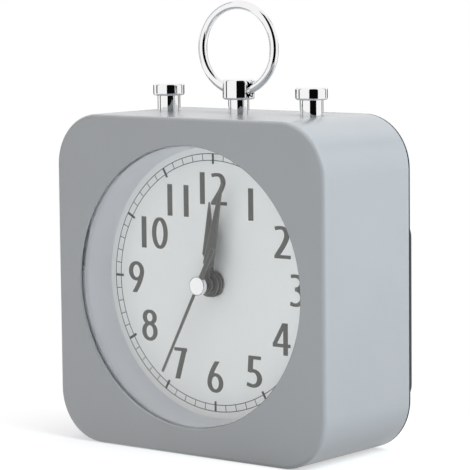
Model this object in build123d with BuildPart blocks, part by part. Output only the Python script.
from build123d import *
import math
import os

os.makedirs("parts", exist_ok=True)

# Millimetres. X points right and Z up as the dial is read, and the front faces minus Y.
# The origin lies in the middle of the flat underside that the clock stands on.

# Case
case_w = 90.0
case_h = 89.3
case_depth = 37.6
case_corner_r = 14.0
case_wall = 2.0
front_edge_r = 1.0
rear_edge_r = 0.3
face_margin = 7.35
window_chamfer = 0.25
window_lip_t = 0.6

# Lens, dial and the ring between them
lens_t = 1.2
lens_overlap = 1.4
seat_gap = 0.2
collar_t = 1.5
collar_len = 2.4
dial_recess = 11.7
dial_t = 0.8
dial_under = 0.1
surround_taper = 1.0
surround_front_inset = 0.2
pipe_gap = 0.4
lamp_r = 1.5
lamp_len = 4.2
lamp_flange_r = 1.9
lamp_flange_t = 0.8
lamp_back = 5.6

# Carrier plate behind the dial, with its four screws
carrier_t = 1.4
carrier_ear = 3.5
carrier_ear_r = 6.5
carrier_screw_gap = 0.9
carrier_boss_r = 2.75
hook_w = 8.0
hook_t = 1.6
hook_lip = 0.8
hook_lip_t = 1.0

# Back cover
cover_lip_t = 0.5
cover_edge_r = 0.3
cover_plug_t = 1.6
cover_gap = 0.2
panel_h = 1.5
panel_edge_r = 0.4
panel_side_inset = 1.0
panel_below = 2.8
panel_above = 17.35
panel_corner_r = 5.0
panel_wall = 2.0
panel_pocket_margin = 4.0
cover_screw_inset = 7.5
boss_r = 3.2

# Screws
screw_shank_r = 1.4
screw_gap = 0.05
screw_head_r = 2.6
screw_head_t = 1.2
screw_bite = 7.0
screw_head_gap = 0.3

# Battery, its well and door
cell_r = 7.25
cell_len = 49.2
cell_edge = 0.6
cell_nub_r = 2.75
cell_nub_len = 1.3
cell_gap = 0.35
contact_t = 0.4
contact_w = 7.0
contact_spring_len = 3.2
well_wall = 1.2
well_drop = 1.4
door_t = 1.6
door_gap = 0.3
door_ledge = 1.0
door_corner_r = 1.5
door_edge_r = 0.3
door_rib_n = 4
door_rib_pitch = 2.0
door_rib_w = 0.8
door_rib_len = 14.0
door_rib_h = 0.5

# Posts on the top of the case
post_back = 22.9
button_side = 20.7
button_stem_r = 3.1
button_head_r = 4.25
button_head_z = 4.2
button_head_t = 3.2
button_edge_r = 0.5
button_under_r = 0.6
plunger_reach = 1.6
button_travel = 1.2
running_gap = 0.1
clip_t = 0.8
clip_r = 5.0
clip_neck_r = 2.4
clip_gap = 0.05
clip_rest_gap = 0.3
clip_mouth = 3.6
ring_stem_r = 2.8
ring_head_r = 4.25
ring_head_z = 3.7
ring_head_t = 5.4
ring_head_edge_r = 0.6
ring_under_r = 0.6
ring_hole_z = 5.9
ring_r = 11.5
ring_wire_r = 1.2
ring_gap = 0.3
ring_yaw = 4.3
ring_mouth_arc = 290.0
ring_tail_r = 1.95
ring_tail_len = 7.2
ring_washer_r = 4.5
ring_washer_t = 0.8
ring_nut_flats = 7.0
ring_nut_t = 2.4

# Key switches under the two buttons
board_side = 2.7
board_d = 11.2
board_t = 1.2
key_w = 6.0
key_h = 4.0
key_plunger_r = 1.7
key_plunger_in = 2.2
key_floor_gap = 0.3

# Movement housing
move_w = 56.0
move_down = 11.05
move_up = 25.85
move_corner_r = 2.0
move_plate_t = 1.2
move_wall = 1.2
mid_plate_t = 1.0
move_rear_room = 7.85
pivot_r = 0.4
pivot_gap = 0.05
pivot_in = 0.5
pivot_hole = 0.8
press_gap = 0.02

# Wheels: tooth counts, modules and the shape of the teeth
tooth_share = 0.34
tooth_taper = 0.6
tooth_add = 0.75
tooth_ded = 1.15
tooth_root_max = 0.42
wheel_t = 0.65
wheel_gap = 0.35
pinion_over = 0.1
rotor_teeth = 6
inter_teeth = 36
inter_pinion = 8
second_teeth = 40
second_pinion = 8
third_teeth = 48
third_pinion = 6
clutch_teeth = 60
minute_pinion = 10
motion_teeth = 30
motion_pinion = 8
hour_teeth = 32
knob_pinion = 12
alarm_teeth = 48
rotor_module = 0.30
second_module = 0.40
clutch_module = 0.28
motion_module = 0.42
alarm_module = 0.35

# Where the side arbors stand round the centre, in degrees from the right
third_at = 60.0
inter_at = 120.0
rotor_at = 170.0
motion_at = 180.0
time_shaft_at = 180.0
alarm_shaft_at = -1.0

# Centre arbor and pipes
second_arbor_r = 0.5
pipe_play = 0.05
minute_pipe_r = 1.5
hour_pipe_r = 2.5
alarm_pipe_r = 3.1
motion_stud_r = 0.6
set_shaft_r = 1.5
set_pivot_r = 0.8

# Hands: height in front of the dial, thickness, angle clockwise from twelve
hand_t = 0.3
alarm_hand_h = 1.1
hour_hand_h = 2.3
minute_hand_h = 3.75
second_hand_h = 6.8
alarm_hand_deg = 3.0
hour_hand_deg = 1.6
minute_hand_deg = 12.5
second_hand_deg = 207.6
hand_collar_wall = 0.6
hand_collar_len = 0.7
alarm_hand_len = 15.0
alarm_hand_hw = 0.6
alarm_hub_r = 3.6
hour_hand_len = 21.9
hour_hand_hw = 2.1
hour_hand_tip = 0.2
hour_neck_r = 6.4
hour_shoulder_r = 8.0
hour_neck_hw = 1.1
hour_hub_r = 3.4
minute_hand_len = 28.0
minute_hand_hw = 1.8
minute_hand_tip = 0.3
minute_neck_r = 5.0
minute_shoulder_r = 5.6
minute_neck_hw = 1.0
minute_hub_r = 2.5
second_hand_len = 27.0
second_hand_hw = 0.45
second_hand_tip = 0.35
second_tail_len = 11.5
second_tail_hw = 0.7
second_tube_len = 1.6
second_tube_r = 1.1
cap_r = 2.55
cap_front_t = 0.5
cap_skirt = 0.85
cap_edge_r = 0.3

# Stepping motor and electronics
magnet_r = 3.0
magnet_len = 2.4
stator_t = 0.8
stator_air = 0.4
stator_rim = 1.5
stator_leg_w = 3.5
stator_left = 24.0
stator_rise = 12.5
core_w = 4.0
coil_h = 7.0
coil_d = 3.2
bobbin_wall = 0.4
flange_t = 0.6
flange_over = 0.5
pcb_t = 1.0
pcb_x0 = 14.0
pcb_w = 12.0
pcb_h = 32.0
pcb_post_r = 1.4
pcb_post_len = 2.2
crystal_r = 1.5
crystal_len = 8.0
chip_w = 6.0
chip_t = 1.2
chip_up = 11.0
chip_corner_r = 0.8
coil_corner_r = 0.8
blade_t = 0.25
blade_w = 2.0
blade_len = 11.0
blade_rise = 3.5
blade_in = 2.5
blade_foot = 2.0

# Knobs on the back
knob_r = 6.0
knob_t = 3.6
knob_lift = 0.4
knob_bore_depth = 2.6
knob_flutes = 16
knob_flute_r = 0.8
knob_edge_r = 0.4
shaft_hole_gap = 0.5

# Alarm switch
switch_x = -2.0
switch_up = 9.85
switch_travel = 4.0
switch_stub_w = 4.0
switch_stub_h = 2.8
switch_stub_out = 1.4
switch_flange_w = 14.0
switch_flange_h = 5.6
switch_flange_t = 1.0
switch_prong_w = 1.6
switch_body_w = 13.0
switch_body_h = 6.0
switch_body_t = 4.0
switch_gap = 0.3

# Buzzer
buzzer_side = 23.0
buzzer_drop = 17.3
buzzer_r = 10.5
buzzer_t = 4.5
buzzer_hole_r = 1.5
buzzer_wall = 1.2
buzzer_wall_len = 3.0
buzzer_fit = 0.15
sound_hole_r = 1.1
sound_hole_ring = 4.2
sound_hole_n = 6

# Depths along Y, counted from the middle of the case
axis_z = case_h / 2
front_y = -case_depth / 2
rim_y = case_depth / 2
front_in_y = front_y + case_wall
lens_back_y = front_y + window_lip_t + lens_t
dial_y = front_y + dial_recess
dial_back_y = dial_y + dial_t
carrier_back_y = dial_back_y + carrier_t
cover_in_y = rim_y - cover_plug_t
lip_y = rim_y + cover_lip_t
panel_y = lip_y + panel_h
panel_in_y = panel_y - panel_wall
post_y = front_y + post_back
button_x = case_w / 2 - button_side
board_w = 2 * (button_x + key_w / 2 + board_side)
lamp_y = lens_back_y + lamp_back
window_r = min(case_w, case_h) / 2 - face_margin
lens_r = window_r + lens_overlap
dial_r = window_r - dial_under
dial_view_r = window_r - surround_taper
collar_r = lens_r + seat_gap

# Wheel levels, front to back, with the middle plate between the two rooms
alarm_lv = carrier_back_y + move_plate_t + wheel_gap
hour_lv = alarm_lv + wheel_t + wheel_gap
motion_lv = hour_lv + wheel_t + wheel_gap
mid_y0 = motion_lv + wheel_t + wheel_gap
mid_y1 = mid_y0 + mid_plate_t
clutch_lv = mid_y1 + wheel_gap
third_lv = clutch_lv + wheel_t + wheel_gap
second_lv = third_lv + wheel_t + wheel_gap
inter_lv = second_lv + wheel_t + wheel_gap
rear_in_y = mid_y1 + move_rear_room
rear_y = rear_in_y + move_plate_t
front_plate_in_y = carrier_back_y + move_plate_t
move_z0 = axis_z - move_down
move_z1 = axis_z + move_up
move_mid_z = (move_z0 + move_z1) / 2
move_h = move_z1 - move_z0


def at_y(y):
    # A plane facing the front at depth y: its x is X, its y is Z, and extrusions run to the front
    return Plane.XZ.offset(-y)


def around(centre, dist, deg):
    # A point at a distance and angle from another, as seen from the front
    a = math.radians(deg)
    return (centre[0] + dist * math.cos(a), centre[1] + dist * math.sin(a))


def centre_dist(teeth_a, teeth_b, module):
    return (teeth_a + teeth_b) * module / 2


def mesh_phase(teeth_a, phase_a, teeth_b, line_deg):
    # Turns gear b so that its gap meets the tooth of gear a on the line of centres
    return line_deg + 180 + 180 / teeth_b + (line_deg - phase_a) * teeth_a / teeth_b


def gear_points(teeth, module, centre, phase_deg):
    # Slim straight-sided teeth with play, as on moulded clock wheels
    pitch_r = teeth * module / 2
    tip_r = pitch_r + tooth_add * module
    root_r = pitch_r - tooth_ded * module
    pitch = 360 / teeth
    half = tooth_share * pitch / 2
    half_tip = half * tooth_taper * pitch_r / tip_r
    half_root = min(half * (2 - tooth_taper) * pitch_r / root_r, pitch * tooth_root_max)
    points = []
    for k in range(teeth):
        mid = phase_deg + k * pitch
        points.append(around(centre, root_r, mid - half_root))
        points.append(around(centre, tip_r, mid - half_tip))
        points.append(around(centre, tip_r, mid + half_tip))
        points.append(around(centre, root_r, mid + half_root))
    return points


def gear_face(teeth, module, centre, phase_deg):
    # Fills the outline of a gear in the sketch that is open
    Polygon(*gear_points(teeth, module, centre, phase_deg), align=None)


def hand_plane(y, deg):
    # A plane facing the front on the dial axis, turned clockwise so that its y runs along the hand
    a = math.radians(deg)
    return Plane(origin=(0, y, axis_z), x_dir=(math.cos(a), 0, -math.sin(a)), z_dir=(0, -1, 0))


def hand_face(root_hw, root_r, tip_hw, tip_r):
    # A tapering blade that points to twelve
    Polygon((-root_hw, root_r), (root_hw, root_r), (tip_hw, tip_r), (-tip_hw, tip_r), align=None)


# Arbor centres round the dial axis, as X and Z
centre = (0.0, axis_z)
third_c = around(centre, centre_dist(third_pinion, clutch_teeth, clutch_module), third_at)
inter_c = around(centre, centre_dist(inter_pinion, second_teeth, second_module), inter_at)
rotor_c = around(inter_c, centre_dist(rotor_teeth, inter_teeth, rotor_module), rotor_at)
motion_c = around(centre, centre_dist(minute_pinion, motion_teeth, motion_module), motion_at)
time_c = around(motion_c, centre_dist(knob_pinion, motion_teeth, motion_module), time_shaft_at)
alarm_c = around(centre, centre_dist(knob_pinion, alarm_teeth, alarm_module), alarm_shaft_at)
third_module = 2 * centre_dist(third_pinion, clutch_teeth, clutch_module) / (second_pinion + third_teeth)
hour_module = motion_module * (minute_pinion + motion_teeth) / (motion_pinion + hour_teeth)

# Tooth phases, set so that every pair stands in mesh at rest
motion_phase = mesh_phase(minute_pinion, motion_at, motion_teeth, motion_at)
hour_phase = mesh_phase(motion_pinion, motion_at + 180, hour_teeth, motion_at + 180)
time_phase = mesh_phase(motion_teeth, motion_phase, knob_pinion, time_shaft_at)
alarm_pin_phase = mesh_phase(alarm_teeth, alarm_shaft_at, knob_pinion, alarm_shaft_at)
clutch_phase = mesh_phase(third_pinion, third_at + 180, clutch_teeth, third_at + 180)
third_phase = mesh_phase(second_pinion, third_at, third_teeth, third_at)
second_phase = mesh_phase(inter_pinion, inter_at + 180, second_teeth, inter_at + 180)
inter_phase = mesh_phase(rotor_teeth, rotor_at + 180, inter_teeth, rotor_at + 180)

# Places of the screws and posts
corners = [(sx, sz) for sx in (-1, 1) for sz in (-1, 1)]
carrier_half = move_w / 2 + carrier_screw_gap + screw_head_r
carrier_ear_w = 2 * (carrier_half + carrier_ear)
cover_half_w = case_w / 2 - cover_screw_inset
cover_half_h = case_h / 2 - cover_screw_inset
carrier_spots = [(sx * carrier_half, axis_z + sz * carrier_half) for sx, sz in corners]
cover_spots = [(sx * cover_half_w, axis_z + sz * cover_half_h) for sx, sz in corners]
top_in_z = case_h - case_wall

# Front case: a deep tray with the round window, the lens seat behind its lip, bosses and post holes
with BuildPart() as front_case:
    with BuildSketch(at_y(rim_y)):
        with Locations((0, axis_z)):
            RectangleRounded(case_w, case_h, case_corner_r)
    extrude(amount=case_depth)
    fillet(front_case.faces().sort_by(Axis.Y)[0].edges(), front_edge_r)
    fillet(front_case.faces().sort_by(Axis.Y)[-1].edges(), rear_edge_r)
    with BuildSketch(at_y(rim_y)):
        with Locations((0, axis_z)):
            RectangleRounded(case_w - 2 * case_wall, case_h - 2 * case_wall, case_corner_r - case_wall)
    extrude(amount=case_depth - case_wall, mode=Mode.SUBTRACT)
    with BuildSketch(at_y(front_in_y)):
        with Locations(centre):
            Circle(window_r)
    extrude(amount=case_wall, mode=Mode.SUBTRACT)
    rounds = front_case.edges().filter_by(GeomType.CIRCLE).filter_by(lambda e: e.radius > case_corner_r)
    chamfer(rounds.group_by(Axis.Y)[0], window_chamfer)
    with BuildSketch(at_y(front_in_y)):
        with Locations(centre):
            Circle(collar_r)
    extrude(amount=case_wall - window_lip_t, mode=Mode.SUBTRACT)
    with BuildSketch(at_y(front_in_y + collar_len)):
        with Locations(centre):
            Circle(collar_r + collar_t)
            Circle(collar_r, mode=Mode.SUBTRACT)
    extrude(amount=collar_len)
    with BuildSketch(at_y(dial_back_y)):
        with Locations(*carrier_spots):
            Circle(carrier_boss_r)
    extrude(amount=dial_back_y - front_in_y)
    with BuildSketch(at_y(dial_back_y)):
        with Locations(*carrier_spots):
            Circle(screw_shank_r + screw_gap)
    extrude(amount=screw_bite, mode=Mode.SUBTRACT)
    with BuildSketch(at_y(cover_in_y)):
        with Locations(*cover_spots):
            Circle(boss_r)
    extrude(amount=cover_in_y - front_in_y)
    with BuildSketch(at_y(cover_in_y)):
        with Locations(*cover_spots):
            Circle(screw_shank_r + screw_gap)
    extrude(amount=screw_bite + screw_head_gap, mode=Mode.SUBTRACT)
    with BuildSketch(Plane.XY.offset(top_in_z)):
        with Locations((-button_x, post_y), (button_x, post_y)):
            Circle(button_stem_r + running_gap)
        with Locations((0, post_y)):
            Circle(ring_tail_r + screw_gap)
    extrude(amount=case_wall, mode=Mode.SUBTRACT)
front_case.part.label = "front_case"
export_step(front_case.part, "parts/front_case.step")

# Lens: a flat clear disc in its seat behind the window's lip
with BuildPart() as lens:
    with BuildSketch(at_y(lens_back_y)):
        with Locations(centre):
            Circle(lens_r)
    extrude(amount=lens_t)
lens.part.label = "lens"
export_step(lens.part, "parts/lens.step")

# Dial surround: the deep ring between the lens and the dial, with a rebate that holds the dial
with BuildPart() as dial_surround:
    with BuildSketch(Plane.XY.offset(axis_z)):
        with BuildLine():
            Polyline(
                (window_r - surround_front_inset, lens_back_y),
                (lens_r, lens_back_y),
                (lens_r, dial_back_y),
                (dial_r + seat_gap, dial_back_y),
                (dial_r + seat_gap, dial_y),
                (dial_view_r, dial_y),
                close=True,
            )
        make_face()
    revolve(axis=Axis((0, 0, axis_z), (0, 1, 0)))
    with BuildSketch(Plane.XY.offset(axis_z)):
        with Locations((0, lamp_y)):
            Circle(lamp_r + running_gap)
    extrude(amount=lens_r + seat_gap, mode=Mode.SUBTRACT)
dial_surround.part.label = "dial_surround"
export_step(dial_surround.part, "parts/dial_surround.step")

# Dial lamp: a small bulb that looks down through the wall of the surround
with BuildPart() as dial_lamp:
    with BuildSketch(Plane.XY.offset(axis_z + window_r)):
        with Locations((0, lamp_y)):
            Circle(lamp_r)
    extrude(amount=lamp_len)
    with BuildSketch(Plane.XY.offset(axis_z + lens_r)):
        with Locations((0, lamp_y)):
            Circle(lamp_flange_r)
    extrude(amount=lamp_flange_t)
dial_lamp.part.label = "dial_lamp"
export_step(dial_lamp.part, "parts/dial_lamp.step")

# Dial: a thin round plate with the hole for the pipes
with BuildPart() as dial_plate:
    with BuildSketch(at_y(dial_back_y)):
        with Locations(centre):
            Circle(dial_r)
            Circle(alarm_pipe_r + pipe_gap, mode=Mode.SUBTRACT)
    extrude(amount=dial_t)
dial_plate.part.label = "dial_plate"
export_step(dial_plate.part, "parts/dial_plate.step")

# Carrier: holds dial, surround and lens against the front, and the movement on its hooks
with BuildPart() as carrier:
    with BuildSketch(at_y(carrier_back_y)):
        with Locations(centre):
            Circle(lens_r)
            RectangleRounded(carrier_ear_w, carrier_ear_w, carrier_ear_r)
            Circle(alarm_pipe_r + 2 * pipe_gap, mode=Mode.SUBTRACT)
        with Locations(*carrier_spots):
            Circle(screw_shank_r + screw_head_gap, mode=Mode.SUBTRACT)
        with Locations(*cover_spots):
            Circle(boss_r + screw_head_gap, mode=Mode.SUBTRACT)
    extrude(amount=carrier_t)
    for side in (-1, 1):
        hook_x = side * (move_w / 2 + seat_gap + hook_t / 2)
        with BuildSketch(at_y(rear_y + hook_lip_t)):
            with Locations((hook_x, move_mid_z)):
                Rectangle(hook_t, hook_w)
        extrude(amount=rear_y + hook_lip_t - carrier_back_y)
        lip_w = hook_t + seat_gap + hook_lip
        with BuildSketch(at_y(rear_y + hook_lip_t)):
            with Locations((hook_x - side * (lip_w - hook_t) / 2, move_mid_z)):
                Rectangle(lip_w, hook_w)
        extrude(amount=hook_lip_t)
carrier.part.label = "carrier"
export_step(carrier.part, "parts/carrier.step")

# Carrier screws
with BuildPart() as carrier_screws_part:
    with BuildSketch(at_y(carrier_back_y + screw_head_t)):
        with Locations(*carrier_spots):
            Circle(screw_head_r)
    extrude(amount=screw_head_t)
    with BuildSketch(at_y(carrier_back_y)):
        with Locations(*carrier_spots):
            Circle(screw_shank_r)
    extrude(amount=carrier_t + screw_bite - screw_head_gap)
carrier_screws_part.part.label = "carrier_screws"
export_step(carrier_screws_part.part, "parts/carrier_screws.step")

# Back cover: lip over the rim, plug inside it, raised panel, battery well, and what passes through
well_h = 2 * (cell_r + cell_gap)
well_z0 = move_z0 - well_drop - well_wall - well_h
cell_z = well_z0 + cell_gap + cell_r
door_in_y = panel_y - door_t
cell_y = door_in_y - door_gap - cell_gap - cell_r
well_floor_y = cell_y - cell_r - cell_gap
well_len = cell_len + cell_nub_len + 2 * contact_t + contact_spring_len
door_w = well_len + 2 * door_ledge
door_h = well_h + 2 * door_ledge
panel_z0 = well_z0 - panel_below
panel_z1 = axis_z + panel_above
panel_mid_z = (panel_z0 + panel_z1) / 2
pocket_z0 = well_z0 + well_h + well_wall
pocket_h = panel_z1 - panel_pocket_margin - pocket_z0
slot_w = switch_stub_w + switch_travel + 2 * switch_gap
slot_x = switch_x + switch_travel / 2
switch_z = axis_z + switch_up
buzzer_c = (buzzer_side - case_w / 2, case_h - buzzer_drop)
sound_spots = [around(buzzer_c, sound_hole_ring, 360 * k / sound_hole_n) for k in range(sound_hole_n)]
with BuildPart() as back_cover:
    with BuildSketch(at_y(lip_y)):
        with Locations((0, axis_z)):
            RectangleRounded(case_w, case_h, case_corner_r)
    extrude(amount=cover_lip_t)
    fillet(back_cover.faces().sort_by(Axis.Y)[-1].edges(), cover_edge_r)
    plug_in = case_wall + cover_gap
    with BuildSketch(at_y(rim_y)):
        with Locations((0, axis_z)):
            RectangleRounded(case_w - 2 * plug_in, case_h - 2 * plug_in, case_corner_r - plug_in)
    extrude(amount=cover_plug_t)
    with BuildSketch(at_y(panel_y)):
        with Locations((0, panel_mid_z)):
            RectangleRounded(case_w - 2 * panel_side_inset, panel_z1 - panel_z0, panel_corner_r)
        with Locations((0, axis_z)):
            panel_r = case_corner_r - panel_side_inset
            panel_room = (case_w - 2 * panel_side_inset, case_h - 2 * panel_side_inset)
            RectangleRounded(*panel_room, panel_r, mode=Mode.INTERSECT)
    extrude(amount=panel_h)
    fillet(back_cover.faces().sort_by(Axis.Y)[-1].edges(), panel_edge_r)
    with BuildSketch(at_y(panel_in_y)):
        with Locations((0, pocket_z0 + pocket_h / 2)):
            Rectangle(case_w - 2 * plug_in - 2 * panel_pocket_margin, pocket_h)
    extrude(amount=panel_in_y - cover_in_y, mode=Mode.SUBTRACT)
    with BuildSketch(at_y(rim_y)):
        with Locations((0, cell_z)):
            Rectangle(well_len + 2 * well_wall, well_h + 2 * well_wall)
    extrude(amount=rim_y - well_floor_y + well_wall)
    with BuildSketch(at_y(panel_y)):
        with Locations((0, cell_z)):
            Rectangle(well_len, well_h)
    extrude(amount=panel_y - well_floor_y, mode=Mode.SUBTRACT)
    with BuildSketch(at_y(panel_y)):
        with Locations((0, cell_z)):
            RectangleRounded(door_w + 2 * door_gap, door_h + 2 * door_gap, door_corner_r + door_gap)
    extrude(amount=door_t + door_gap, mode=Mode.SUBTRACT)
    with BuildSketch(at_y(panel_y)):
        with Locations(time_c, alarm_c):
            Circle(set_shaft_r + shaft_hole_gap)
        with Locations((slot_x, switch_z)):
            Rectangle(slot_w, switch_stub_h + 2 * switch_gap)
    extrude(amount=panel_wall, mode=Mode.SUBTRACT)
    with BuildSketch(at_y(panel_y)):
        with Locations(*cover_spots):
            Circle(screw_shank_r + screw_head_gap)
        with Locations(buzzer_c, *sound_spots):
            Circle(sound_hole_r)
    extrude(amount=panel_y - cover_in_y, mode=Mode.SUBTRACT)
    with BuildSketch(at_y(panel_y)):
        with Locations(*cover_spots):
            Circle(screw_head_r + screw_head_gap)
    extrude(amount=panel_h + screw_head_t, mode=Mode.SUBTRACT)
    with BuildSketch(at_y(cover_in_y)):
        with Locations(buzzer_c):
            Circle(buzzer_r + buzzer_fit + buzzer_wall)
            Circle(buzzer_r + buzzer_fit, mode=Mode.SUBTRACT)
    extrude(amount=buzzer_wall_len)
back_cover.part.label = "back_cover"
export_step(back_cover.part, "parts/back_cover.step")

# Cover screws, sunk flush in the back
with BuildPart() as cover_screws_part:
    with BuildSketch(at_y(lip_y)):
        with Locations(*cover_spots):
            Circle(screw_head_r)
    extrude(amount=screw_head_t)
    with BuildSketch(at_y(lip_y - screw_head_t)):
        with Locations(*cover_spots):
            Circle(screw_shank_r)
    extrude(amount=cover_lip_t + cover_plug_t - screw_head_t + screw_bite)
cover_screws_part.part.label = "cover_screws"
export_step(cover_screws_part.part, "parts/cover_screws.step")

# Battery door: a plate that snaps into the panel, with grip ribs
with BuildPart() as battery_door:
    with BuildSketch(at_y(panel_y)):
        with Locations((0, cell_z)):
            RectangleRounded(door_w, door_h, door_corner_r)
    extrude(amount=door_t)
    fillet(battery_door.faces().sort_by(Axis.Y)[-1].edges(), door_edge_r)
    with BuildSketch(at_y(panel_y + door_rib_h)):
        with Locations((0, cell_z)):
            with GridLocations(0, door_rib_pitch, 1, door_rib_n):
                Rectangle(door_rib_len, door_rib_w)
    extrude(amount=door_rib_h)
battery_door.part.label = "battery_door"
export_step(battery_door.part, "parts/battery_door.step")

# Battery cell lying across the well, its plus end to the right
cell_x0 = -well_len / 2 + contact_t + contact_spring_len
with BuildPart() as battery_cell:
    with BuildSketch(Plane.YZ.offset(cell_x0)):
        with Locations((cell_y, cell_z)):
            Circle(cell_r)
    extrude(amount=cell_len)
    chamfer(battery_cell.edges().filter_by(GeomType.CIRCLE), cell_edge)
    with BuildSketch(Plane.YZ.offset(cell_x0 + cell_len)):
        with Locations((cell_y, cell_z)):
            Circle(cell_nub_r)
    extrude(amount=cell_nub_len)
battery_cell.part.label = "battery_cell"
export_step(battery_cell.part, "parts/battery_cell.step")

# Plus contact: a flat tab against the end wall of the well
with BuildPart() as contact_plus:
    with BuildSketch(Plane.YZ.offset(well_len / 2 - contact_t)):
        with Locations((cell_y, cell_z)):
            Rectangle(2 * cell_r, contact_w)
    extrude(amount=contact_t)
contact_plus.part.label = "contact_plus"
export_step(contact_plus.part, "parts/contact_plus.step")

# Minus contact: a tab whose leaf is bent out to press on the cell
with BuildPart() as contact_minus:
    with BuildSketch(Plane.XY.offset(cell_z - contact_w / 2)):
        with BuildLine():
            Polyline(
                (-well_len / 2, cell_y - cell_r),
                (-well_len / 2 + contact_t, cell_y - cell_r),
                (cell_x0, cell_y - contact_w / 4),
                (cell_x0, cell_y + contact_w / 4),
                (-well_len / 2 + contact_t, cell_y + cell_r),
                (-well_len / 2, cell_y + cell_r),
                (-well_len / 2, cell_y + cell_r - 2 * contact_t),
                (cell_x0 - contact_t, cell_y + contact_w / 4 - contact_t),
                (cell_x0 - contact_t, cell_y - contact_w / 4 + contact_t),
                (-well_len / 2, cell_y - cell_r + 2 * contact_t),
                close=True,
            )
        make_face()
    extrude(amount=contact_w)
contact_minus.part.label = "contact_minus"
export_step(contact_minus.part, "parts/contact_minus.step")

# Two push buttons on the top, each with a mushroom head, a stem and a neck for its clip
clip_z1 = top_in_z - clip_rest_gap
head_z0 = case_h + button_head_z
button_names = (
    ("snooze_button", "snooze_clip", "snooze_plunger", -1),
    ("light_button", "light_clip", "light_plunger", 1),
)
key_top_z = move_z1 + board_t + key_h
stem_z0 = key_top_z + plunger_reach
key_well = key_plunger_in + button_travel + key_floor_gap
for button_name, clip_name, plunger_name, side in button_names:
    with BuildPart() as button:
        with BuildSketch(Plane.XY.offset(stem_z0)):
            with Locations((side * button_x, post_y)):
                Circle(button_stem_r)
        extrude(amount=head_z0 - stem_z0)
        with BuildSketch(Plane.XY.offset(clip_z1 - clip_t)):
            with Locations((side * button_x, post_y)):
                Circle(button_stem_r)
                Circle(clip_neck_r, mode=Mode.SUBTRACT)
        extrude(amount=clip_t, mode=Mode.SUBTRACT)
        with BuildSketch(Plane.XY.offset(head_z0)):
            with Locations((side * button_x, post_y)):
                Circle(button_head_r)
        extrude(amount=button_head_t)
        rounds = button.edges().filter_by(GeomType.CIRCLE)
        rounds = rounds.filter_by(lambda e: e.radius > button_stem_r + clip_gap)
        fillet(rounds.sort_by(Axis.Z)[0], button_under_r)
        fillet(button.faces().sort_by(Axis.Z)[-1].edges(), button_edge_r)
    button.part.label = button_name
    export_step(button.part, f"parts/{button_name}.step")
    with BuildPart() as clip:
        with BuildSketch(Plane.XY.offset(clip_z1 - clip_t + clip_gap)):
            with Locations((side * button_x, post_y)):
                Circle(clip_r)
                Circle(clip_neck_r + clip_gap, mode=Mode.SUBTRACT)
            with Locations((side * button_x, post_y - clip_r)):
                Rectangle(clip_mouth, 2 * clip_r, mode=Mode.SUBTRACT)
        extrude(amount=clip_t - 2 * clip_gap)
    clip.part.label = clip_name
    export_step(clip.part, f"parts/{clip_name}.step")
    with BuildPart() as plunger:
        with BuildSketch(Plane.XY.offset(key_top_z - key_plunger_in)):
            with Locations((side * button_x, post_y)):
                Circle(key_plunger_r)
        extrude(amount=stem_z0 - key_top_z + key_plunger_in)
    plunger.part.label = plunger_name
    export_step(plunger.part, f"parts/{plunger_name}.step")

# Key switches: two small boxes with a well for the plunger
with BuildPart() as key_switches:
    with BuildSketch(Plane.XY.offset(move_z1 + board_t)):
        with Locations((-button_x, post_y), (button_x, post_y)):
            Rectangle(key_w, key_w)
    extrude(amount=key_h)
    with BuildSketch(Plane.XY.offset(key_top_z - key_well)):
        with Locations((-button_x, post_y), (button_x, post_y)):
            Circle(key_plunger_r + running_gap)
    extrude(amount=key_well, mode=Mode.SUBTRACT)
key_switches.part.label = "key_switches"
export_step(key_switches.part, "parts/key_switches.step")

# Switch board lying on the movement
with BuildPart() as switch_board:
    with BuildSketch(Plane.XY.offset(move_z1)):
        with Locations((0, post_y)):
            Rectangle(board_w, board_d)
    extrude(amount=board_t)
switch_board.part.label = "switch_board"
export_step(switch_board.part, "parts/switch_board.step")

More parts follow.
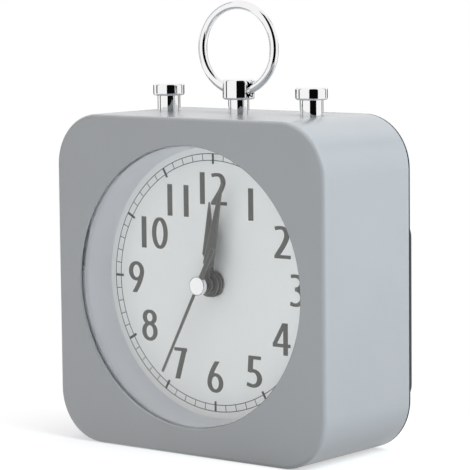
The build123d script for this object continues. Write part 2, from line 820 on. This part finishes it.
# Ring post: turned stem and head with a cross hole that opens out at both ends, and a tail for the nut
hole_z = case_h + ring_hole_z
yaw = math.radians(ring_yaw)
hole_dir = (math.cos(yaw), math.sin(yaw), 0)
hole_plane = Plane(origin=(0, post_y, hole_z), x_dir=hole_dir, z_dir=(math.sin(yaw), -math.cos(yaw), 0))
mouth_from = math.radians(-ring_mouth_arc / 2)
mouth_out = math.cos(mouth_from)
mouth_face = (math.sin(yaw) * mouth_out, -math.cos(yaw) * mouth_out, -math.sin(mouth_from))
mouth_plane = Plane(origin=(0, post_y, hole_z), x_dir=hole_dir, z_dir=mouth_face)
bore_r = ring_wire_r + ring_gap
mouth_x = ring_head_r + ring_gap
mouth_r = bore_r + ring_r - math.sqrt(ring_r**2 - mouth_x**2)
ring_head_z0 = case_h + ring_head_z
with BuildPart() as ring_post:
    with BuildSketch(Plane.XY.offset(top_in_z - ring_tail_len + case_wall)):
        with Locations((0, post_y)):
            Circle(ring_tail_r)
    extrude(amount=ring_tail_len)
    with BuildSketch(Plane.XY.offset(case_h)):
        with Locations((0, post_y)):
            Circle(ring_stem_r)
    extrude(amount=ring_head_z)
    with BuildSketch(Plane.XY.offset(ring_head_z0)):
        with Locations((0, post_y)):
            Circle(ring_head_r)
    extrude(amount=ring_head_t)
    rounds = ring_post.edges().filter_by(GeomType.CIRCLE)
    rounds = rounds.filter_by(lambda e: e.radius > ring_stem_r + clip_gap)
    fillet(rounds.sort_by(Axis.Z)[0], ring_under_r)
    fillet(ring_post.faces().sort_by(Axis.Z)[-1].edges(), ring_head_edge_r)
    with BuildSketch(Plane(origin=(0, post_y, hole_z), x_dir=(0, 0, 1), z_dir=hole_dir)):
        Circle(bore_r)
    extrude(amount=mouth_x, both=True, mode=Mode.SUBTRACT)
    with BuildSketch(mouth_plane):
        with BuildLine():
            Line((-mouth_x, ring_wire_r), (mouth_x, ring_wire_r))
            Line((mouth_x, ring_wire_r), (mouth_x, mouth_r))
            ThreePointArc((mouth_x, mouth_r), (0, bore_r), (-mouth_x, mouth_r))
            Line((-mouth_x, mouth_r), (-mouth_x, ring_wire_r))
        make_face()
    revolve(axis=Axis((0, post_y, hole_z), hole_dir), revolution_arc=ring_mouth_arc, mode=Mode.SUBTRACT)
ring_post.part.label = "ring_post"
export_step(ring_post.part, "parts/ring_post.step")

# Washer and nut that hold the ring post from inside
with BuildPart() as ring_washer:
    with BuildSketch(Plane.XY.offset(top_in_z - ring_washer_t)):
        with Locations((0, post_y)):
            Circle(ring_washer_r)
            Circle(ring_tail_r + screw_gap, mode=Mode.SUBTRACT)
    extrude(amount=ring_washer_t)
ring_washer.part.label = "ring_washer"
export_step(ring_washer.part, "parts/ring_washer.step")

with BuildPart() as ring_nut:
    with BuildSketch(Plane.XY.offset(top_in_z - ring_washer_t - ring_nut_t)):
        with Locations((0, post_y)):
            RegularPolygon(ring_nut_flats / 2, 6, major_radius=False)
            Circle(ring_tail_r + screw_gap, mode=Mode.SUBTRACT)
    extrude(amount=ring_nut_t)
ring_nut.part.label = "ring_nut"
export_step(ring_nut.part, "parts/ring_nut.step")

# Carry ring: a closed round wire, standing up
with BuildPart() as carry_ring:
    with Locations(hole_plane.location * Location((0, ring_r, 0))):
        Torus(ring_r, ring_wire_r)
carry_ring.part.label = "carry_ring"
export_step(carry_ring.part, "parts/carry_ring.step")

# Movement, front housing: holds the pipes and the motion work
pivot_hole_r = pivot_r + pivot_gap
with BuildPart() as movement_front:
    with BuildSketch(at_y(mid_y0)):
        with Locations((0, move_mid_z)):
            RectangleRounded(move_w, move_h, move_corner_r)
    extrude(amount=mid_y0 - carrier_back_y)
    with BuildSketch(at_y(mid_y0)):
        with Locations((0, move_mid_z)):
            Rectangle(move_w - 2 * move_wall, move_h - 2 * move_wall)
    extrude(amount=mid_y0 - front_plate_in_y, mode=Mode.SUBTRACT)
    with BuildSketch(at_y(front_plate_in_y)):
        with Locations(centre):
            Circle(alarm_pipe_r + pipe_play)
    extrude(amount=move_plate_t, mode=Mode.SUBTRACT)
    with BuildSketch(at_y(front_plate_in_y)):
        with Locations(time_c, alarm_c):
            Circle(set_pivot_r + pivot_gap)
    extrude(amount=pivot_hole, mode=Mode.SUBTRACT)
movement_front.part.label = "movement_front"
export_step(movement_front.part, "parts/movement_front.step")

# Movement, middle plate: carries the front pivots of the train and the stud of the motion wheel
stator_y0 = mid_y1 + wheel_gap + (magnet_len - stator_t) / 2
stator_x0 = -stator_left
stator_x1 = rotor_c[0] + magnet_r + stator_air + stator_rim
stator_z0 = rotor_c[1] - magnet_r - stator_air - stator_rim
stator_z1 = rotor_c[1] + stator_rise
leg_left_x = stator_x0 + stator_leg_w / 2
leg_right_x = stator_x1 - stator_leg_w / 2
stator_posts = [(leg_left_x, z) for z in (stator_z0 + stator_leg_w / 2, stator_z1 - stator_leg_w / 2)]
with BuildPart() as movement_middle:
    with BuildSketch(at_y(mid_y1)):
        with Locations((0, move_mid_z)):
            RectangleRounded(move_w, move_h, move_corner_r)
        with Locations(centre):
            Circle(minute_pipe_r + pipe_play, mode=Mode.SUBTRACT)
        with Locations(time_c, alarm_c):
            Circle(set_shaft_r + pipe_play, mode=Mode.SUBTRACT)
    extrude(amount=mid_plate_t)
    with BuildSketch(at_y(mid_y1)):
        with Locations(third_c, inter_c, rotor_c):
            Circle(pivot_hole_r)
    extrude(amount=pivot_hole, mode=Mode.SUBTRACT)
    with BuildSketch(at_y(mid_y0)):
        with Locations(motion_c):
            Circle(motion_stud_r)
    extrude(amount=mid_y0 - hour_lv)
    with BuildSketch(at_y(stator_y0)):
        with Locations(*stator_posts):
            Circle(pcb_post_r)
    extrude(amount=stator_y0 - mid_y1)
movement_middle.part.label = "movement_middle"
export_step(movement_middle.part, "parts/movement_middle.step")

# Movement, rear housing: closes the train, with the rear pivots, the set shafts and the board posts
pcb_y1 = rear_in_y - pcb_post_len
pcb_z0 = move_z0 + move_wall + seat_gap
pcb_mid_x = pcb_x0 + pcb_w / 2
pcb_post_in = pcb_post_r + seat_gap
pcb_posts = [(pcb_mid_x, z) for z in (pcb_z0 + pcb_post_in, pcb_z0 + pcb_h - pcb_post_in)]
with BuildPart() as movement_rear:
    with BuildSketch(at_y(rear_y)):
        with Locations((0, move_mid_z)):
            RectangleRounded(move_w, move_h, move_corner_r)
    extrude(amount=rear_y - mid_y1)
    with BuildSketch(at_y(rear_in_y)):
        with Locations((0, move_mid_z)):
            Rectangle(move_w - 2 * move_wall, move_h - 2 * move_wall)
    extrude(amount=rear_in_y - mid_y1, mode=Mode.SUBTRACT)
    with BuildSketch(at_y(rear_y)):
        with Locations(time_c, alarm_c):
            Circle(set_shaft_r + pipe_play)
    extrude(amount=move_plate_t, mode=Mode.SUBTRACT)
    with BuildSketch(at_y(rear_in_y + pivot_hole)):
        with Locations(third_c, inter_c, rotor_c):
            Circle(pivot_hole_r)
        with Locations(centre):
            Circle(second_arbor_r + pivot_gap)
    extrude(amount=pivot_hole, mode=Mode.SUBTRACT)
    with BuildSketch(at_y(rear_in_y)):
        with Locations(*pcb_posts):
            Circle(pcb_post_r)
    extrude(amount=pcb_post_len)
movement_rear.part.label = "movement_rear"
export_step(movement_rear.part, "parts/movement_rear.step")

# Rotor: a round magnet on an arbor with the smallest pinion
magnet_y1 = mid_y1 + wheel_gap + magnet_len
with BuildPart() as rotor:
    with BuildSketch(at_y(rear_in_y + pivot_in)):
        with Locations(rotor_c):
            Circle(pivot_r)
    extrude(amount=rear_in_y - mid_y1 + 2 * pivot_in)
    with BuildSketch(at_y(magnet_y1)):
        with Locations(rotor_c):
            Circle(magnet_r)
    extrude(amount=magnet_len)
    with BuildSketch(at_y(inter_lv + wheel_t + pinion_over)):
        gear_face(rotor_teeth, rotor_module, rotor_c, rotor_at + 180)
    extrude(amount=wheel_t + 2 * pinion_over)
rotor.part.label = "rotor"
export_step(rotor.part, "parts/rotor.step")

# Intermediate wheel between the rotor and the seconds wheel
with BuildPart() as inter_wheel:
    with BuildSketch(at_y(rear_in_y + pivot_in)):
        with Locations(inter_c):
            Circle(pivot_r)
    extrude(amount=rear_in_y - mid_y1 + 2 * pivot_in)
    with BuildSketch(at_y(inter_lv + wheel_t)):
        gear_face(inter_teeth, rotor_module, inter_c, inter_phase)
    extrude(amount=wheel_t)
    with BuildSketch(at_y(inter_lv)):
        gear_face(inter_pinion, second_module, inter_c, inter_at + 180)
    extrude(amount=wheel_t + wheel_gap + pinion_over)
inter_wheel.part.label = "inter_wheel"
export_step(inter_wheel.part, "parts/inter_wheel.step")

# Seconds wheel: its long arbor runs through all pipes to the seconds hand
second_plate_y = dial_y - second_hand_h
cap_back_y = second_plate_y - hand_t
with BuildPart() as second_wheel:
    with BuildSketch(at_y(rear_in_y + pivot_in)):
        with Locations(centre):
            Circle(second_arbor_r)
    extrude(amount=rear_in_y + pivot_in - second_plate_y + hand_t)
    with BuildSketch(at_y(second_lv + wheel_t)):
        gear_face(second_teeth, second_module, centre, second_phase)
    extrude(amount=wheel_t)
    with BuildSketch(at_y(second_lv)):
        gear_face(second_pinion, third_module, centre, third_at)
    extrude(amount=wheel_t + wheel_gap + pinion_over)
second_wheel.part.label = "second_wheel"
export_step(second_wheel.part, "parts/second_wheel.step")

# Third wheel between the seconds wheel and the clutch wheel
with BuildPart() as third_wheel:
    with BuildSketch(at_y(rear_in_y + pivot_in)):
        with Locations(third_c):
            Circle(pivot_r)
    extrude(amount=rear_in_y - mid_y1 + 2 * pivot_in)
    with BuildSketch(at_y(third_lv + wheel_t)):
        gear_face(third_teeth, third_module, third_c, third_phase)
    extrude(amount=wheel_t)
    with BuildSketch(at_y(third_lv)):
        gear_face(third_pinion, clutch_module, third_c, third_at + 180)
    extrude(amount=wheel_t + wheel_gap + pinion_over)
third_wheel.part.label = "third_wheel"
export_step(third_wheel.part, "parts/third_wheel.step")

# Clutch wheel: rides on the minute pipe and slips when the hands are set
with BuildPart() as clutch_wheel:
    with BuildSketch(at_y(clutch_lv + wheel_t)):
        gear_face(clutch_teeth, clutch_module, centre, clutch_phase)
        with Locations(centre):
            Circle(minute_pipe_r + pipe_play, mode=Mode.SUBTRACT)
    extrude(amount=wheel_t)
clutch_wheel.part.label = "clutch_wheel"
export_step(clutch_wheel.part, "parts/clutch_wheel.step")

# Minute pipe with its pinion
minute_pipe_y0 = dial_y - minute_hand_h - hand_t - hand_collar_wall
minute_pipe_y1 = clutch_lv + wheel_t + pinion_over
with BuildPart() as minute_pipe:
    with BuildSketch(at_y(minute_pipe_y1)):
        with Locations(centre):
            Circle(minute_pipe_r)
    extrude(amount=minute_pipe_y1 - minute_pipe_y0)
    with BuildSketch(at_y(motion_lv + wheel_t)):
        gear_face(minute_pinion, motion_module, centre, motion_at)
    extrude(amount=wheel_t)
    with BuildSketch(at_y(minute_pipe_y1)):
        with Locations(centre):
            Circle(second_arbor_r + pipe_play)
    extrude(amount=minute_pipe_y1 - minute_pipe_y0, mode=Mode.SUBTRACT)
minute_pipe.part.label = "minute_pipe"
export_step(minute_pipe.part, "parts/minute_pipe.step")

# Motion wheel on its stud, geared down to the hour wheel
with BuildPart() as motion_wheel:
    with BuildSketch(at_y(motion_lv + wheel_t)):
        gear_face(motion_teeth, motion_module, motion_c, motion_phase)
    extrude(amount=wheel_t)
    with BuildSketch(at_y(motion_lv)):
        gear_face(motion_pinion, hour_module, motion_c, motion_at + 180)
    extrude(amount=wheel_t + wheel_gap)
    with BuildSketch(at_y(motion_lv + wheel_t)):
        with Locations(motion_c):
            Circle(motion_stud_r + pipe_play)
    extrude(amount=2 * wheel_t + wheel_gap, mode=Mode.SUBTRACT)
motion_wheel.part.label = "motion_wheel"
export_step(motion_wheel.part, "parts/motion_wheel.step")

# Hour wheel with its pipe
hour_pipe_y0 = dial_y - hour_hand_h - hand_t - hand_collar_wall / 2
with BuildPart() as hour_wheel:
    with BuildSketch(at_y(hour_lv + wheel_t)):
        gear_face(hour_teeth, hour_module, centre, hour_phase)
    extrude(amount=wheel_t)
    with BuildSketch(at_y(hour_lv + wheel_t)):
        with Locations(centre):
            Circle(hour_pipe_r)
    extrude(amount=hour_lv + wheel_t - hour_pipe_y0)
    with BuildSketch(at_y(hour_lv + wheel_t)):
        with Locations(centre):
            Circle(minute_pipe_r + pipe_play)
    extrude(amount=hour_lv + wheel_t - hour_pipe_y0, mode=Mode.SUBTRACT)
hour_wheel.part.label = "hour_wheel"
export_step(hour_wheel.part, "parts/hour_wheel.step")

# Alarm wheel with its pipe
alarm_pipe_y0 = dial_y - alarm_hand_h - hand_t
with BuildPart() as alarm_wheel:
    with BuildSketch(at_y(alarm_lv + wheel_t)):
        gear_face(alarm_teeth, alarm_module, centre, alarm_shaft_at)
    extrude(amount=wheel_t)
    with BuildSketch(at_y(alarm_lv + wheel_t)):
        with Locations(centre):
            Circle(alarm_pipe_r)
    extrude(amount=alarm_lv + wheel_t - alarm_pipe_y0)
    with BuildSketch(at_y(alarm_lv + wheel_t)):
        with Locations(centre):
            Circle(hour_pipe_r + pipe_play)
    extrude(amount=alarm_lv + wheel_t - alarm_pipe_y0, mode=Mode.SUBTRACT)
alarm_wheel.part.label = "alarm_wheel"
export_step(alarm_wheel.part, "parts/alarm_wheel.step")

# Set shafts with their pinions, and the two knobs on the back
knob_y0 = panel_y + knob_lift
shaft_y1 = knob_y0 + knob_bore_depth
set_list = (
    ("time_shaft", "time_knob", time_c, motion_lv, motion_module, time_phase),
    ("alarm_shaft", "alarm_knob", alarm_c, alarm_lv, alarm_module, alarm_pin_phase),
)
for shaft_name, knob_name, spot, level, module, phase in set_list:
    with BuildPart() as shaft:
        with BuildSketch(at_y(shaft_y1)):
            with Locations(spot):
                Circle(set_shaft_r)
        extrude(amount=shaft_y1 - level - wheel_t)
        with BuildSketch(at_y(level + wheel_t)):
            gear_face(knob_pinion, module, spot, phase)
        extrude(amount=wheel_t)
        with BuildSketch(at_y(level)):
            with Locations(spot):
                Circle(set_pivot_r)
        extrude(amount=level - front_plate_in_y + pivot_in)
    shaft.part.label = shaft_name
    export_step(shaft.part, f"parts/{shaft_name}.step")
    with BuildPart() as knob:
        with BuildSketch(at_y(knob_y0 + knob_t)):
            with Locations(spot):
                Circle(knob_r)
        extrude(amount=knob_t)
        chamfer(knob.faces().sort_by(Axis.Y)[-1].edges(), knob_edge_r)
        with BuildSketch(at_y(knob_y0 + knob_t)):
            with Locations(spot):
                with PolarLocations(knob_r + knob_flute_r / 2, knob_flutes):
                    Circle(knob_flute_r)
        extrude(amount=knob_t, mode=Mode.SUBTRACT)
        with BuildSketch(at_y(shaft_y1 + press_gap)):
            with Locations(spot):
                Circle(set_shaft_r + press_gap)
        extrude(amount=knob_bore_depth + press_gap, mode=Mode.SUBTRACT)
    knob.part.label = knob_name
    export_step(knob.part, f"parts/{knob_name}.step")

# Alarm hand: a short blade on a round hub, just above the dial
alarm_plate_y = dial_y - alarm_hand_h
with BuildPart() as alarm_hand:
    with BuildSketch(hand_plane(alarm_plate_y, alarm_hand_deg)):
        Circle(alarm_hub_r)
        hand_face(alarm_hand_hw, 0, alarm_hand_hw / 2, alarm_hand_len)
        Circle(alarm_pipe_r + press_gap, mode=Mode.SUBTRACT)
    extrude(amount=hand_t)
alarm_hand.part.label = "alarm_hand"
export_step(alarm_hand.part, "parts/alarm_hand.step")

# Hour and minute hands: tapering blades with a shoulder, a narrow neck, a round hub and a collar behind
hand_list = (
    ("hour_hand", hour_hand_h, hour_hand_deg, hour_hub_r, hour_pipe_r)
    + (hour_neck_hw, hour_neck_r, hour_shoulder_r, hour_hand_hw, hour_hand_tip, hour_hand_len),
    ("minute_hand", minute_hand_h, minute_hand_deg, minute_hub_r, minute_pipe_r)
    + (minute_neck_hw, minute_neck_r, minute_shoulder_r, minute_hand_hw, minute_hand_tip, minute_hand_len),
)
for hand_name, height, deg, hub_r, hole_r, *blade in hand_list:
    neck_hw, neck_r, shoulder_r, blade_hw, tip_hw, length = blade
    plate_y = dial_y - height
    with BuildPart() as hand:
        with BuildSketch(hand_plane(plate_y, deg)):
            Circle(hub_r)
            hand_face(neck_hw, 0, neck_hw, neck_r)
            hand_face(neck_hw, neck_r, blade_hw, shoulder_r)
            hand_face(blade_hw, shoulder_r, tip_hw, length)
            Circle(hole_r + press_gap, mode=Mode.SUBTRACT)
        extrude(amount=hand_t)
        with BuildSketch(hand_plane(plate_y + hand_collar_len, deg)):
            Circle(hole_r + hand_collar_wall)
            Circle(hole_r + press_gap, mode=Mode.SUBTRACT)
        extrude(amount=hand_collar_len)
    hand.part.label = hand_name
    export_step(hand.part, f"parts/{hand_name}.step")

# Seconds hand: a thin needle with a counterweight tail and a tube that grips the arbor
with BuildPart() as second_hand:
    with BuildSketch(hand_plane(second_plate_y, second_hand_deg)):
        Circle(second_tube_r)
        hand_face(second_hand_hw, 0, second_hand_tip, second_hand_len)
        hand_face(second_tail_hw, 0, second_tail_hw, -second_tail_len)
        Circle(second_arbor_r + press_gap, mode=Mode.SUBTRACT)
    extrude(amount=hand_t)
    with BuildSketch(hand_plane(second_plate_y + second_tube_len, second_hand_deg)):
        Circle(second_tube_r)
        Circle(second_arbor_r + press_gap, mode=Mode.SUBTRACT)
    extrude(amount=second_tube_len)
second_hand.part.label = "second_hand"
export_step(second_hand.part, "parts/second_hand.step")

# Bright cap over the middle of the seconds hand, slotted for the needle
with BuildPart() as hand_cap:
    with BuildSketch(at_y(cap_back_y + cap_skirt)):
        with Locations(centre):
            Circle(cap_r)
    extrude(amount=cap_skirt + cap_front_t)
    fillet(hand_cap.faces().sort_by(Axis.Y)[0].edges(), cap_edge_r)
    with BuildSketch(hand_plane(cap_back_y + cap_skirt, second_hand_deg)):
        Rectangle(2 * second_tail_hw + 2 * pipe_play, 2 * cap_r)
        Circle(second_tube_r + pipe_play)
    extrude(amount=cap_skirt, mode=Mode.SUBTRACT)
hand_cap.part.label = "hand_cap"
export_step(hand_cap.part, "parts/hand_cap.step")

# Stator: a flat iron yoke round the rotor with two legs up to the coil
with BuildPart() as stator:
    with BuildSketch(at_y(stator_y0 + stator_t)):
        with Locations(rotor_c):
            Circle(magnet_r + stator_air + stator_rim)
        with Locations(((stator_x0 + rotor_c[0]) / 2, stator_z0 + stator_leg_w / 2)):
            Rectangle(rotor_c[0] - stator_x0, stator_leg_w)
        with Locations((leg_left_x, (stator_z0 + stator_z1) / 2)):
            Rectangle(stator_leg_w, stator_z1 - stator_z0)
        with Locations((leg_right_x, (rotor_c[1] + stator_z1) / 2)):
            Rectangle(stator_leg_w, stator_z1 - rotor_c[1])
        with Locations(rotor_c):
            Circle(magnet_r + stator_air, mode=Mode.SUBTRACT)
    extrude(amount=stator_t)
stator.part.label = "stator"
export_step(stator.part, "parts/stator.step")

# Coil core, bobbin and winding across the legs
core_y0 = stator_y0 + stator_t
core_mid_y = core_y0 + stator_t / 2
core_z = stator_z1 - core_w / 2
coil_x0 = stator_x0 + stator_leg_w + seat_gap
coil_x1 = stator_x1 - stator_leg_w - seat_gap
tube_h = core_w + 2 * bobbin_wall + 2 * seat_gap
tube_d = stator_t + 2 * bobbin_wall + 2 * seat_gap
with BuildPart() as coil_core:
    with BuildSketch(at_y(core_y0 + stator_t)):
        with Locations(((stator_x0 + stator_x1) / 2, core_z)):
            Rectangle(stator_x1 - stator_x0, core_w)
    extrude(amount=stator_t)
coil_core.part.label = "coil_core"
export_step(coil_core.part, "parts/coil_core.step")

with BuildPart() as coil_bobbin:
    with BuildSketch(Plane.YZ.offset(coil_x0)):
        with Locations((core_mid_y, core_z)):
            Rectangle(tube_d, tube_h)
    extrude(amount=coil_x1 - coil_x0)
    for flange_x in (coil_x0, coil_x1 - flange_t):
        with BuildSketch(Plane.YZ.offset(flange_x)):
            with Locations((core_mid_y, core_z)):
                Rectangle(coil_d + 2 * flange_over, coil_h + 2 * flange_over)
        extrude(amount=flange_t)
    with BuildSketch(Plane.YZ.offset(coil_x0)):
        with Locations((core_mid_y, core_z)):
            Rectangle(stator_t + 2 * seat_gap, core_w + 2 * seat_gap)
    extrude(amount=coil_x1 - coil_x0, mode=Mode.SUBTRACT)
coil_bobbin.part.label = "coil_bobbin"
export_step(coil_bobbin.part, "parts/coil_bobbin.step")

with BuildPart() as coil_winding:
    with BuildSketch(Plane.YZ.offset(coil_x0 + flange_t)):
        with Locations((core_mid_y, core_z)):
            RectangleRounded(coil_d, coil_h, coil_corner_r)
            Rectangle(tube_d, tube_h, mode=Mode.SUBTRACT)
    extrude(amount=coil_x1 - coil_x0 - 2 * flange_t)
coil_winding.part.label = "coil_winding"
export_step(coil_winding.part, "parts/coil_winding.step")

# Circuit board on its posts, with the chip and the quartz crystal
with BuildPart() as circuit_board:
    with BuildSketch(at_y(pcb_y1)):
        with Locations((pcb_mid_x, pcb_z0 + pcb_h / 2)):
            Rectangle(pcb_w, pcb_h)
    extrude(amount=pcb_t)
circuit_board.part.label = "circuit_board"
export_step(circuit_board.part, "parts/circuit_board.step")

pcb_front_y = pcb_y1 - pcb_t
with BuildPart() as clock_chip:
    with BuildSketch(at_y(pcb_front_y)):
        with Locations((pcb_mid_x, pcb_z0 + chip_up)):
            RectangleRounded(chip_w, chip_w, chip_corner_r)
    extrude(amount=chip_t)
clock_chip.part.label = "clock_chip"
export_step(clock_chip.part, "parts/clock_chip.step")

with BuildPart() as quartz_crystal:
    with BuildSketch(Plane.XY.offset(pcb_z0 + pcb_h / 2)):
        with Locations((pcb_mid_x, pcb_front_y - crystal_r - press_gap)):
            Circle(crystal_r)
    extrude(amount=crystal_len)
quartz_crystal.part.label = "quartz_crystal"
export_step(quartz_crystal.part, "parts/quartz_crystal.step")

# Alarm contact: a spring blade behind the hour wheel, its foot on the middle plate
blade_y1 = hour_lv + wheel_t + wheel_gap + blade_t
blade_x1 = hour_teeth * hour_module / 2 - blade_in + blade_len
blade_z = axis_z + blade_rise
with BuildPart() as alarm_contact:
    with BuildSketch(at_y(blade_y1)):
        with Locations((blade_x1 - blade_len / 2, blade_z)):
            Rectangle(blade_len, blade_w)
    extrude(amount=blade_t)
    with BuildSketch(at_y(mid_y0)):
        with Locations((blade_x1 - blade_foot / 2, blade_z)):
            Rectangle(blade_foot, blade_w)
    extrude(amount=mid_y0 - blade_y1)
alarm_contact.part.label = "alarm_contact"
export_step(alarm_contact.part, "parts/alarm_contact.step")

# Alarm switch: a slider in the back panel and the switch it works on the movement
flange_y1 = panel_in_y - switch_gap
flange_y0 = flange_y1 - switch_flange_t
body_y1 = rear_y + switch_body_t
groove_y0 = body_y1 - switch_body_t / 2
with BuildPart() as alarm_slider:
    with BuildSketch(at_y(panel_y + switch_stub_out)):
        with Locations((switch_x, switch_z)):
            Rectangle(switch_stub_w, switch_stub_h)
    extrude(amount=panel_y + switch_stub_out - flange_y1)
    with BuildSketch(at_y(flange_y1)):
        with Locations((switch_x, switch_z)):
            Rectangle(switch_flange_w, switch_flange_h)
    extrude(amount=switch_flange_t)
    with BuildSketch(at_y(flange_y0)):
        with Locations((switch_x, switch_z)):
            Rectangle(switch_prong_w, switch_prong_w)
    extrude(amount=flange_y0 - groove_y0 - switch_gap)
alarm_slider.part.label = "alarm_slider"
export_step(alarm_slider.part, "parts/alarm_slider.step")

with BuildPart() as switch_body:
    with BuildSketch(at_y(body_y1)):
        with Locations((slot_x, switch_z)):
            Rectangle(switch_body_w, switch_body_h)
    extrude(amount=switch_body_t)
    with BuildSketch(at_y(body_y1)):
        with Locations((slot_x, switch_z)):
            Rectangle(switch_prong_w + switch_travel + 2 * switch_gap, switch_prong_w + 2 * switch_gap)
    extrude(amount=switch_body_t / 2, mode=Mode.SUBTRACT)
switch_body.part.label = "switch_body"
export_step(switch_body.part, "parts/switch_body.step")

# Buzzer in its ring behind the sound holes
with BuildPart() as buzzer:
    with BuildSketch(at_y(cover_in_y)):
        with Locations(buzzer_c):
            Circle(buzzer_r)
    extrude(amount=buzzer_t)
    with BuildSketch(at_y(cover_in_y)):
        with Locations(buzzer_c):
            Circle(buzzer_hole_r)
    extrude(amount=buzzer_t / 2, mode=Mode.SUBTRACT)
buzzer.part.label = "buzzer"
export_step(buzzer.part, "parts/buzzer.step")
